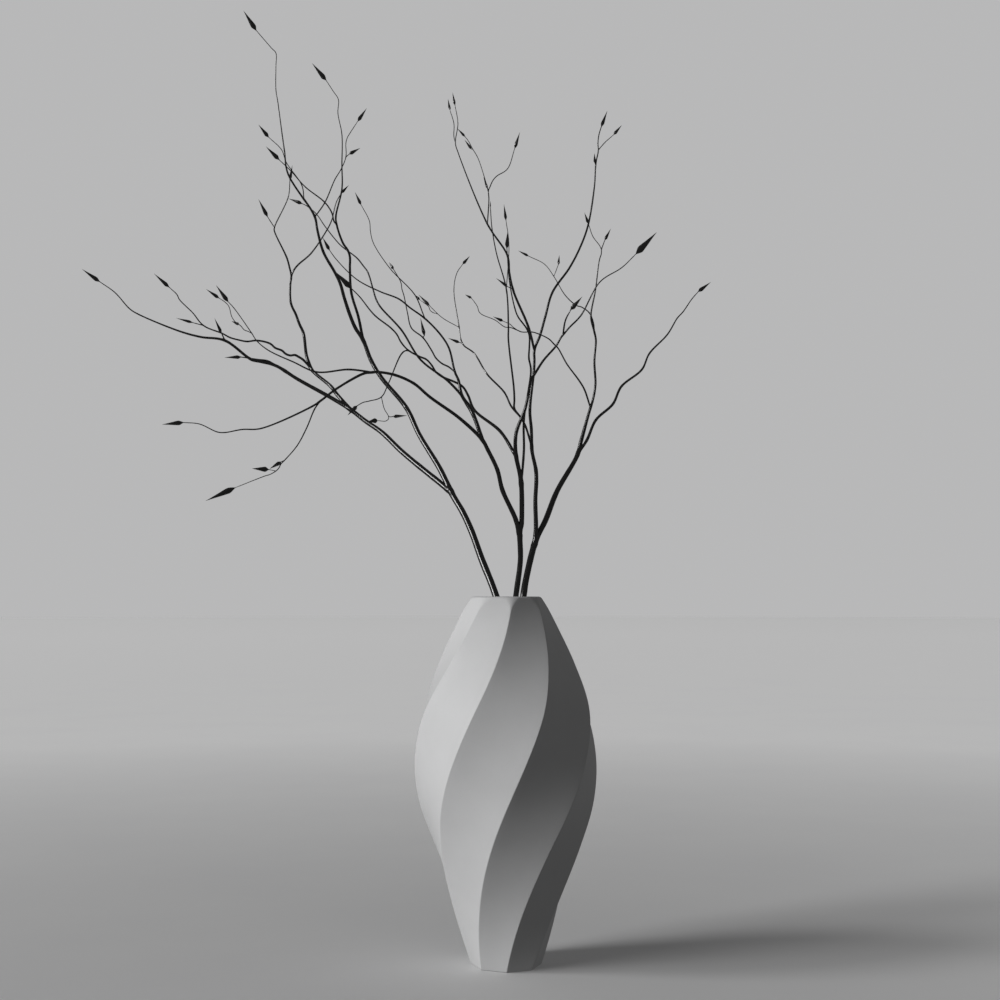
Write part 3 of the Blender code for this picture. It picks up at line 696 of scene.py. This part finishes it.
def left_branch():
    """The branch that leans furthest to the left and reaches highest."""
    branch = Branch("left_branch")
    stem = branch.stem(
        [(7, -15, STAND), (10, -18, 50), (21, -26, 120), (22, -26, 220), (4, -2, 310)],
        thick=(6.8, 6.1, 4.8, 4, 2.9, 1.8, 0.9, 0.7),
        back=(24.8, 68.8, 115, 154, 152, 150, 150, 145), bud=5, route=[
            (-10.5, 368), (-25, 405.5), (-35, 433), (-43.5, 451.5), (-53.5, 468.5), (-66.5, 495),
            (-87, 529), (-100, 556), (-125.5, 587), (-135.5, 604), (-143.5, 624.5), (-151, 636),
            (-157, 650.5), (-162.5, 667.5), (-166, 680), (-171.5, 691.5), (-183, 712), (-189, 734),
            (-191, 745.5), (-194.5, 753), (-218.5, 790.5), (-222, 813.5), (-224, 827.5),
            (-228.5, 861.5), (-230.5, 874.5), (-230.5, 897.5), (-230.5, 911), (-235, 916),
            (-250.5, 934), (-263, 953.5)])
    low = branch.twig(
        stem, thick=(5.8, 5.1, 4.1, 3.2, 2.3, 1.3, 0.8),
        back=(116, 150.5, 178, 190, 190, 182, 170, 156), bud=4, route=[
            (-56, 472.5), (-103, 511), (-124.5, 531.5), (-141, 543), (-156, 554.5), (-174, 565.5),
            (-209, 585), (-231, 598.5), (-246, 602.5), (-255, 604.5), (-281.5, 623.5), (-305.5, 627),
            (-326, 632.5), (-367.5, 649.5), (-376.5, 655), (-391.5, 671.5), (-407, 682.5),
            (-424.5, 695)])
    branch.twig(
        low, thick=(1.7, 1), back=(200,), bud=3.5, route=[
            (-221.5, 594), (-238.5, 603), (-248.5, 604.5), (-265.5, 607), (-282, 606.5)])
    branch.twig(
        low, thick=(1.5, 0.9), back=(180,), bud=3, route=[
            (-282, 624.5), (-285, 631), (-292, 646)])
    rise = branch.twig(
        low, thick=(3.9, 3.3, 2.5, 1.7, 1.1, 0.8), back=(190, 210, 216, 214, 208, 204), bud=3, route=[
            (-156.5, 554), (-169, 569), (-175.5, 577.5), (-194.5, 594), (-197.5, 601), (-200, 609),
            (-203, 631), (-207, 640), (-210.5, 649.5), (-215.5, 661), (-216, 680), (-215, 687.5),
            (-217, 697), (-219.5, 706), (-232, 733), (-232, 736.5), (-218, 767.5), (-216.5, 784),
            (-214, 799)])
    branch.twig(
        rise, thick=(0.9, 0.8), back=(205,), bud=4, route=[
            (-232, 736.5), (-239, 747.5), (-248, 765)])
    branch.twig(
        rise, thick=(1.5, 1.2, 0.8), back=(208, 196, 188), bud=3, route=[
            (-215, 687.5), (-213, 693), (-208.5, 699), (-195.5, 710.5), (-179.5, 734), (-175, 743),
            (-170, 762), (-165, 771), (-157.5, 779)])
    reach = branch.twig(
        rise, thick=(2.2, 1.8, 1.4, 1.1, 0.8), back=(205, 212, 216, 216), bud=4, route=[
            (-195.5, 595), (-203, 604), (-207.5, 607), (-211.5, 609), (-216, 608.5), (-220.5, 610),
            (-224.5, 613.5), (-231, 616), (-236.5, 620.5), (-249.5, 623.5), (-259.5, 622.5),
            (-267.5, 624), (-276.5, 626.5), (-284, 630.5), (-303, 638.5), (-313.5, 651), (-327, 664.5),
            (-329.5, 669.5), (-337.5, 677), (-352.5, 690.5)])
    branch.twig(
        reach, thick=(1, 0.8), back=(210,), bud=3, route=[
            (-303.5, 639), (-314, 641.5), (-330.5, 646)])
    tall = branch.twig(
        stem, thick=(2.7, 2.3, 2, 1.5, 1.1, 0.8, 0.7), back=(140, 124, 108, 96, 88), bud=4.5, route=[
            (-144, 625), (-148, 647), (-155, 671), (-156.5, 695.5), (-156.5, 707), (-158.5, 713.5),
            (-163.5, 721), (-170, 740.5), (-170.5, 748), (-164.5, 775), (-164.5, 799.5),
            (-164.5, 829.5), (-168.5, 851), (-168, 864.5), (-173, 872.5), (-180.5, 884), (-194.5, 901)])
    branch.twig(
        tall, thick=(1.4, 1.1, 0.8), back=(98, 90, 84), bud=4.5, route=[
            (-170.5, 739), (-172.5, 743), (-174.5, 751), (-182, 762), (-201, 777), (-216, 793.5),
            (-227.5, 804.5), (-240.5, 817.5)])
    top_right = branch.twig(
        stem, thick=(1.2, 0.9, 0.7), back=(156, 164, 172), bud=3.5, route=[
            (-191, 747), (-181.5, 761.5), (-171.5, 784.5), (-165.5, 794.5), (-160.5, 807),
            (-160.5, 821), (-159, 826.5), (-156, 831.5), (-148.5, 843), (-139.5, 856)])
    branch.twig(
        top_right, thick=(0.9, 0.8), back=(160,), bud=3.5, route=[
            (-160.5, 807), (-157, 810), (-146, 816)])
    branch.twig(
        stem, thick=(1, 0.8, 0.7), back=(142, 134, 128), bud=4, route=[
            (-202, 765), (-204.5, 778.5), (-220, 801.5), (-225, 814.5), (-238, 827), (-248, 839.5)])
    return branch


def middle_branch():
    """The branch that leaves the mouth upright and spreads both ways."""
    branch = Branch("middle_branch")
    stem = branch.stem(
        [(-16, 10, STAND), (-18, 8, 110), (-10, 2, 220), (3, -15, 310)],
        thick=(5.4, 4.9, 4.5, 3.2, 2.3, 1.5, 1.1, 0.8),
        back=(-26.2, -32, -36, -40, -56, -78), bud=6.5, route=[
            (9.5, 368), (14, 404), (13.5, 432), (15, 440), (15.5, 456), (14.5, 484), (9.5, 509),
            (9, 524), (10.5, 534), (18.5, 554.5), (23, 575.5), (25, 585), (28, 589.5), (37, 603.5),
            (50, 618.5), (55, 627), (57.5, 630), (63, 636.5), (74.5, 648.5), (93.5, 682),
            (115.5, 696.5), (130, 710.5), (150.5, 732)])
    low = branch.twig(
        stem, thick=(4.7, 4.1, 3.4, 2.8, 2.5, 2, 1.5, 1.1, 0.8),
        back=(-45, -72, -98, -118, -135), bud=4.5, route=[
            (13, 428), (9.5, 444), (-4, 474), (-9, 494), (-18.5, 514), (-24, 524), (-46.5, 545.5),
            (-76.5, 567), (-92.5, 580.5), (-111.5, 589), (-129.5, 592), (-135.5, 591.5),
            (-142.5, 590.5), (-169.5, 575.5), (-186, 563), (-193.5, 558), (-245.5, 535.5),
            (-264.5, 534.5), (-281.5, 531.5), (-289, 532), (-307, 540), (-323.5, 541.5),
            (-344.5, 539.5)])
    low_down = branch.twig(
        low, thick=(1.3, 1.1, 0.9, 0.7), back=(-112, -120, -128, -134), bud=6, route=[
            (-185.5, 563), (-191.5, 555.5), (-200, 535.5), (-209.5, 518), (-222.5, 503), (-225.5, 500),
            (-227.5, 496), (-230.5, 493), (-236.5, 489.5), (-241.5, 488), (-272, 476), (-301, 463)])
    branch.twig(
        low_down, thick=(0.9, 0.8), back=(-128,), bud=4, route=[
            (-222, 504), (-225.5, 502), (-237, 495)])
    branch.twig(
        low_down, thick=(0.8, 0.7), back=(-132,), bud=5, route=[
            (-230.5, 493), (-238, 494.5), (-254.5, 495.5)])
    low_thin = branch.twig(
        low, thick=(1.8, 1.5, 1.2, 0.9, 0.8), back=(-84, -72, -64, -58), bud=4.5, route=[
            (-134.5, 591.5), (-157.5, 594.5), (-189.5, 592), (-213, 602), (-238.5, 614), (-250, 623.5),
            (-254.5, 630.5), (-272.5, 656), (-278.5, 662.5), (-290.5, 679)])
    low_thin_side = branch.twig(
        low_thin, thick=(0.8, 0.7), back=(-72, -84), bud=3.5, route=[
            (-254, 630), (-258, 632.5), (-262, 634), (-266, 638.5), (-270.5, 641.5), (-274.5, 647),
            (-277.5, 657.5), (-281.5, 662), (-287.5, 666), (-300.5, 675)])
    branch.twig(
        low_thin_side, thick=(0.8, 0.7), back=(-80,), bud=3, route=[
            (-266, 638.5), (-267.5, 639.5), (-275, 643)])
    mid = branch.twig(
        low, thick=(4, 3.9, 2, 1.7, 1.5, 1.3, 1, 0.8),
        back=(-35, -28, -30, -36, -44, -52), bud=3.5, route=[
            (-24, 524), (-33, 549), (-38.5, 559), (-44.5, 568.5), (-48, 584), (-51.5, 592),
            (-57.5, 616), (-66, 629.5), (-81.5, 645.5), (-96, 656), (-107.5, 665), (-126.5, 672.5),
            (-149.5, 684.5), (-170, 704.5), (-177, 714), (-184, 727)])
    branch.twig(
        mid, thick=(1.1, 0.8, 0.7), back=(-46, -58, -68), bud=3, route=[
            (-80.5, 645.5), (-83.5, 650.5), (-91.5, 669), (-115.5, 694.5), (-129, 713.5),
            (-134, 723.5), (-136, 733), (-137, 743), (-145.5, 759.5), (-151.5, 772)])
    mid_left = branch.twig(
        mid, thick=(1.4, 1.3, 1, 0.8), back=(-8, 0, 6), bud=3, route=[
            (-51.5, 591.5), (-57.5, 597), (-64.5, 600.5), (-70.5, 606), (-74.5, 613), (-83.5, 626.5),
            (-95, 636), (-99, 651.5), (-102.5, 668.5), (-104.5, 675), (-105.5, 681.5), (-113, 695),
            (-118, 702.5)])
    branch.twig(
        mid_left, thick=(1, 0.8), back=(-6,), bud=3.5, route=[
            (-83, 626), (-82, 628.5), (-86, 646.5)])
    branch.twig(
        mid, thick=(2.5, 1.8, 1.6, 1.3, 1, 0.8), back=(-52, -44, -32, -18, -4), bud=3.5, route=[
            (-39.5, 561), (-46, 570), (-58.5, 583), (-86, 604.5), (-105, 634), (-125.5, 656.5),
            (-130, 664), (-138.5, 691.5), (-143, 698), (-149.5, 706), (-165, 718), (-171.5, 725),
            (-182, 738.5), (-190, 750), (-199.5, 758), (-204.5, 760.5), (-218, 765.5)])
    arch = branch.twig(
        stem, thick=(3.3, 2.9, 2.2, 1.7, 1.4, 1.3, 1), back=(-14, -8, -2, 4, 8), bud=6, route=[
            (9, 507.5), (-6, 532.5), (-32, 554), (-38.5, 569), (-44.5, 578), (-65.5, 588),
            (-70.5, 592), (-74.5, 598.5), (-80, 604.5), (-87, 607.5), (-98.5, 614), (-105.5, 622),
            (-109.5, 629.5), (-115.5, 636), (-132, 649), (-147, 667.5), (-155.5, 676), (-172.5, 693.5)])
    arch_drop = branch.twig(
        arch, thick=(1.3, 1, 0.9), back=(-8, -18), bud=4, route=[
            (-97.5, 613.5), (-100.5, 613.5), (-105, 610), (-118, 580.5), (-125, 567), (-137, 563),
            (-143.5, 561.5), (-149.5, 558), (-159, 548.5)])
    arch_drop_left = branch.twig(
        arch_drop, thick=(0.8, 0.7), back=(-30, -60), bud=5, route=[
            (-125, 567), (-122, 555), (-118, 548), (-118, 545), (-120.5, 543), (-129.5, 543.5),
            (-138.5, 542.5)])
    branch.twig(
        arch_drop_left, thick=(0.9, 0.8), back=(-26,), bud=3.5, route=[
            (-118, 548), (-116.5, 547), (-113.5, 547.5), (-99, 548.5)])
    branch.twig(
        stem, thick=(2.4, 2.1, 1.8, 1.5, 1.1, 0.8), back=(-34, -46, -56, -64), bud=4, route=[
            (15, 481), (17.5, 514), (17.5, 544), (24.5, 594), (22.5, 606), (23, 618), (23, 628),
            (20.5, 635), (11.5, 647.5), (8.5, 655.5), (3, 683), (0.5, 716), (1.5, 734)])
    branch.twig(
        stem, thick=(1.6, 1.3, 1), back=(-56,), bud=5, route=[
            (57, 629), (59, 643.5), (64.5, 654.5), (76, 667.5)])
    return branch


def right_branch():
    """The branch that leans to the right."""
    branch = Branch("right_branch")
    stem = branch.stem(
        [(-8, -16, STAND), (-8, -18, 110), (0, -6, 220), (10, 11, 310)],
        thick=(6.4, 5.8, 5.2, 4.1, 2.2, 1.8, 1.2, 0.8), back=(23.4, 52, 80, 84, 84, 86), bud=3, route=[
            (17, 368), (19.5, 384), (29.5, 424), (39, 443.5), (50.5, 472.5), (71, 509), (75, 524),
            (83.5, 554.5), (86.5, 564), (89, 579.5), (88, 602.5), (89.5, 624), (88, 632), (84.5, 647),
            (89, 673.5), (93, 704), (95, 710.5), (95, 714), (98.5, 724), (104.5, 735.5)])
    branch.twig(
        stem, thick=(0.8, 0.7), back=(96,), bud=3, route=[
            (95, 713.5), (93.5, 718), (86.5, 727.5), (82, 740.5), (78, 751.5)])
    hook = branch.twig(
        stem, thick=(1.2, 1, 0.7, 0.7), back=(88, 96, 102), bud=2.5, route=[
            (88, 632), (87, 641), (83, 651), (75, 657), (70, 658.5), (59, 668.5), (47.5, 687.5),
            (38.5, 699.5), (22, 708), (11.5, 713.5)])
    branch.twig(
        hook, thick=(0.7, 0.7), back=(108,), bud=2.5, route=[
            (47.5, 687.5), (52, 699.5), (53, 709)])
    sweep = branch.twig(
        stem, thick=(1.6, 1.3, 1.1, 0.8, 0.7), back=(86, 92, 96, 100), bud=2.5, route=[
            (84, 555.5), (78, 574.5), (73, 583), (60.5, 600), (51.5, 616), (47.5, 620), (42.5, 625),
            (31, 630.5), (25.5, 632), (15.5, 632), (10.5, 634), (4, 636.5), (-1.5, 637), (-11.5, 644),
            (-24.5, 649.5), (-27.5, 652.5), (-29, 657.5), (-35, 666), (-41.5, 669.5)])
    branch.twig(
        sweep, thick=(0.8, 0.7), back=(72,), bud=3, route=[
            (11.5, 633.5), (6.5, 637), (4, 639.5), (-3.5, 643), (-13.5, 647.5)])
    branch.twig(
        stem, thick=(2.8, 2.5, 2.2, 1.8, 1.4, 1.1, 0.8), back=(82, 86, 90, 94, 98), bud=4, route=[
            (71.5, 510), (80.5, 524), (89.5, 544), (106.5, 560), (115, 577.5), (135.5, 594.5),
            (143, 610.5), (161, 629.5), (171, 646), (176.5, 652), (185.5, 665), (192, 672.5),
            (204.5, 682)])
    tall = branch.twig(
        stem, thick=(4.5, 3.8, 2.9, 2.4, 2, 1.7, 1.3, 0.9),
        back=(44, 42, 44, 50, 58, 64), bud=3.5, route=[
            (28, 419), (29.5, 434), (29, 464), (30, 484), (29.5, 494), (25.5, 514), (25, 534),
            (23.5, 554), (27.5, 593.5), (28, 604), (28, 614), (33.5, 628), (39, 647.5), (46, 671.5),
            (63, 696), (73, 715), (81.5, 738), (88, 777.5), (89.5, 800.5), (92, 814), (91.5, 820),
            (92.5, 829), (95, 837.5), (101, 853.5)])
    branch.twig(
        tall, thick=(0.9, 0.7), back=(66,), bud=3, route=[
            (92, 813.5), (98, 821), (107.5, 829.5), (115.5, 839)])
    branch.twig(
        tall, thick=(0.8, 0.8), back=(58,), bud=2.5, route=[
            (89.5, 798.5), (88.5, 801), (88, 811)])
    lean = branch.twig(
        tall, thick=(2.4, 2.2, 1.9, 1.5, 1.2, 0.9, 0.7), back=(46, 54, 60, 66, 72), bud=2.5, route=[
            (28, 614), (22, 637), (7, 673), (3, 691), (1, 708.5), (-19, 740), (-48.5, 812), (-51, 821),
            (-48.5, 840.5), (-51.5, 859), (-54, 872)])
    branch.twig(
        lean, thick=(0.8, 0.7), back=(84,), bud=2.5, route=[
            (-51, 820.5), (-52.5, 827.5), (-52.5, 840.5), (-56.5, 854), (-58.5, 865.5)])
    branch.twig(
        lean, thick=(0.9, 0.8), back=(30,), bud=3, route=[
            (6.5, 674), (1, 677.5), (-10.5, 686)])
    crotch = branch.twig(
        lean, thick=(1.1, 0.9, 0.7), back=(50, 40, 32), bud=3.5, route=[
            (-19.5, 740.5), (-17.5, 765), (-18, 773.5), (-16.5, 777), (-13.5, 783.5), (-9.5, 788),
            (1, 795), (8.5, 816), (13.5, 832)])
    crotch_left = branch.twig(
        crotch, thick=(0.8, 0.7, 0.7), back=(38, 28), bud=2.5, route=[
            (-18, 773.5), (-28.5, 806), (-34, 815.5), (-38, 823), (-41.5, 827.5), (-49.5, 836)])
    branch.twig(
        crotch_left, thick=(0.7, 0.7), back=(44,), bud=2.5, route=[
            (-33, 814), (-35, 815), (-42, 824.5)])
    branch.twig(
        crotch, thick=(0.8, 0.8), back=(56,), bud=2.5, route=[
            (-18, 771), (-19, 775.5), (-23, 787.5)])
    inner = branch.twig(
        tall, thick=(1.9, 1.8, 1.6, 1.4, 1.2, 1, 0.8), back=(24, 16, 10, 6, 2), bud=1.2, route=[
            (25, 518), (19, 538), (14, 547), (8, 555.5), (8, 564), (7.5, 575.5), (2, 624.5), (2, 637),
            (0, 674.5), (-10, 711), (-14.5, 736.5), (-16, 757), (-16, 763.5)])
    branch.twig(
        inner, thick=(0.8, 0.7), back=(-6, -12), bud=3, route=[
            (-0.5, 675), (2.5, 721), (-0.5, 744), (-2.5, 760)])
    arch = branch.twig(
        inner, thick=(1.7, 1.4, 1, 0.7), back=(40, 64, 76, 84), bud=3, route=[
            (13.5, 546), (5, 557.5), (-2, 571.5), (-19, 589.5), (-32.5, 611), (-42.5, 618.5),
            (-45.5, 624.5), (-47.5, 638.5), (-52.5, 674.5), (-49.5, 691), (-43.5, 700), (-36.5, 708)])
    arch_side = branch.twig(
        arch, thick=(0.7, 0.7), back=(88,), bud=3, route=[
            (-47.5, 637), (-61.5, 644.5), (-67.5, 649), (-77, 658.5), (-88, 669.5)])
    branch.twig(
        arch_side, thick=(0.7, 0.7), back=(98,), bud=2.5, route=[
            (-68.5, 649.5), (-73.5, 651.5), (-76.5, 654), (-77.5, 657), (-87, 664.5), (-91, 669)])
    branch.twig(
        arch, thick=(0.8, 0.8), back=(64,), bud=3, route=[
            (-44, 621), (-47, 621.5), (-58.5, 626)])
    return branch


def make_stage():
    """A wide pale floor with a painted glow that grows away from the vase, soft light from the left, dim
    air and a pale background.
    """
    bm = bmesh.new()
    bmesh.ops.create_circle(bm, cap_ends=True, segments=96, radius=FLOOR_RADIUS)
    nodes = Nodes("pale_floor_painted_glow")
    place = nodes.add("ShaderNodeTexCoord").outputs["Object"]
    patches = nodes.noise(place, 3.0, 6.0, 0.6)
    tone = nodes.ramp(patches, (0.3, (0.74, 0.74, 0.745)), (0.7, (0.77, 0.77, 0.77)))
    nodes.link(tone, nodes.shader.inputs["Base Color"])
    nodes.shader.inputs["Roughness"].default_value = 0.8
    away = nodes.add("ShaderNodeVectorMath", operation="LENGTH")
    nodes.link(place, away.inputs[0])
    reach = nodes.spread(away.outputs["Value"], 0.0, FLOOR_RADIUS, 0.0, 1.0)
    # The floor's painted glow: emission that lightens it away from the vase and leaves it darker near the
    # vase
    painted_glows = [(metres / FLOOR_RADIUS, (glow, glow, glow)) for metres, glow in FLOOR_PAINTED_GLOW]
    nodes.link(nodes.ramp(reach, *painted_glows), nodes.shader.inputs["Emission Color"])
    nodes.shader.inputs["Emission Strength"].default_value = 1.0
    floor = finish_mesh("floor", bm, nodes.material, 30)
    floor.visible_diffuse = False
    floor.visible_glossy = False

    for strength, softness, around, up in LAMPS:
        light = bpy.data.lights.new("soft_light", "SUN")
        light.energy = strength
        light.angle = math.radians(softness)
        lamp = bpy.data.objects.new("soft_light", light)
        bpy.context.scene.collection.objects.link(lamp)
        lamp.rotation_euler = (math.radians(90 - up), 0.0, math.radians(around))
        lamp.visible_glossy = False

    strength, length, width = SOFTBOX
    around, up, slope = [math.radians(angle) for angle in SOFTBOX_TURN]
    light = bpy.data.lights.new("softbox", "AREA")
    light.shape = "RECTANGLE"
    light.size = 2 * SOFTBOX_AWAY * math.tan(math.radians(length / 2))
    light.size_y = 2 * SOFTBOX_AWAY * math.tan(math.radians(width / 2))
    light.energy = strength * math.pi * SOFTBOX_AWAY ** 2
    softbox = bpy.data.objects.new("softbox", light)
    bpy.context.scene.collection.objects.link(softbox)
    softbox.matrix_world = (
        Matrix.Translation((0.0, 0.0, 0.5)) @ Matrix.Rotation(around, 4, "Z")
        @ Matrix.Rotation(math.pi / 2 - up, 4, "X") @ Matrix.Rotation(slope, 4, "Z")
        @ Matrix.Translation((0.0, 0.0, SOFTBOX_AWAY)))
    softbox.visible_camera = False

    world = bpy.data.worlds.new("studio")
    bpy.context.scene.world = world
    world.use_nodes = True
    tree = world.node_tree
    air = tree.nodes["Background"]
    air.inputs["Color"].default_value = (AIR, AIR, AIR, 1.0)
    backdrop = tree.nodes.new("ShaderNodeBackground")
    backdrop.inputs["Color"].default_value = (*BACKDROP, 1.0)
    path = tree.nodes.new("ShaderNodeLightPath")
    both = tree.nodes.new("ShaderNodeMixShader")
    tree.links.new(path.outputs["Is Camera Ray"], both.inputs["Fac"])
    tree.links.new(air.outputs["Background"], both.inputs[1])
    tree.links.new(backdrop.outputs["Background"], both.inputs[2])
    tree.links.new(both.outputs["Shader"], tree.nodes["World Output"].inputs["Surface"])
    bpy.context.scene.view_settings.view_transform = "Standard"


def make_camera():
    """A camera at rim height, where the photographer's stood."""
    data = bpy.data.cameras.new("camera")
    camera = bpy.data.objects.new("camera", data)
    bpy.context.scene.collection.objects.link(camera)
    camera.location = (EYE_ACROSS * MM, -VIEW_DISTANCE * MM, EYE_UP * MM)
    camera.rotation_euler = (math.pi / 2, 0.0, 0.0)
    data.sensor_width = 36.0
    data.lens = VIEW_DISTANCE * MM * data.sensor_width
    data.shift_y = CAMERA_SHIFT
    data.clip_end = 100.0
    bpy.context.scene.camera = camera


make_camera()
make_stage()
settle(make_vase(), "vase")
wood = make_wood()
for branch, node in ((left_branch(), "branch_left"), (middle_branch(), "branch_middle"),
                     (right_branch(), "branch_right")):
    settle(branch.grow_together(wood), node)
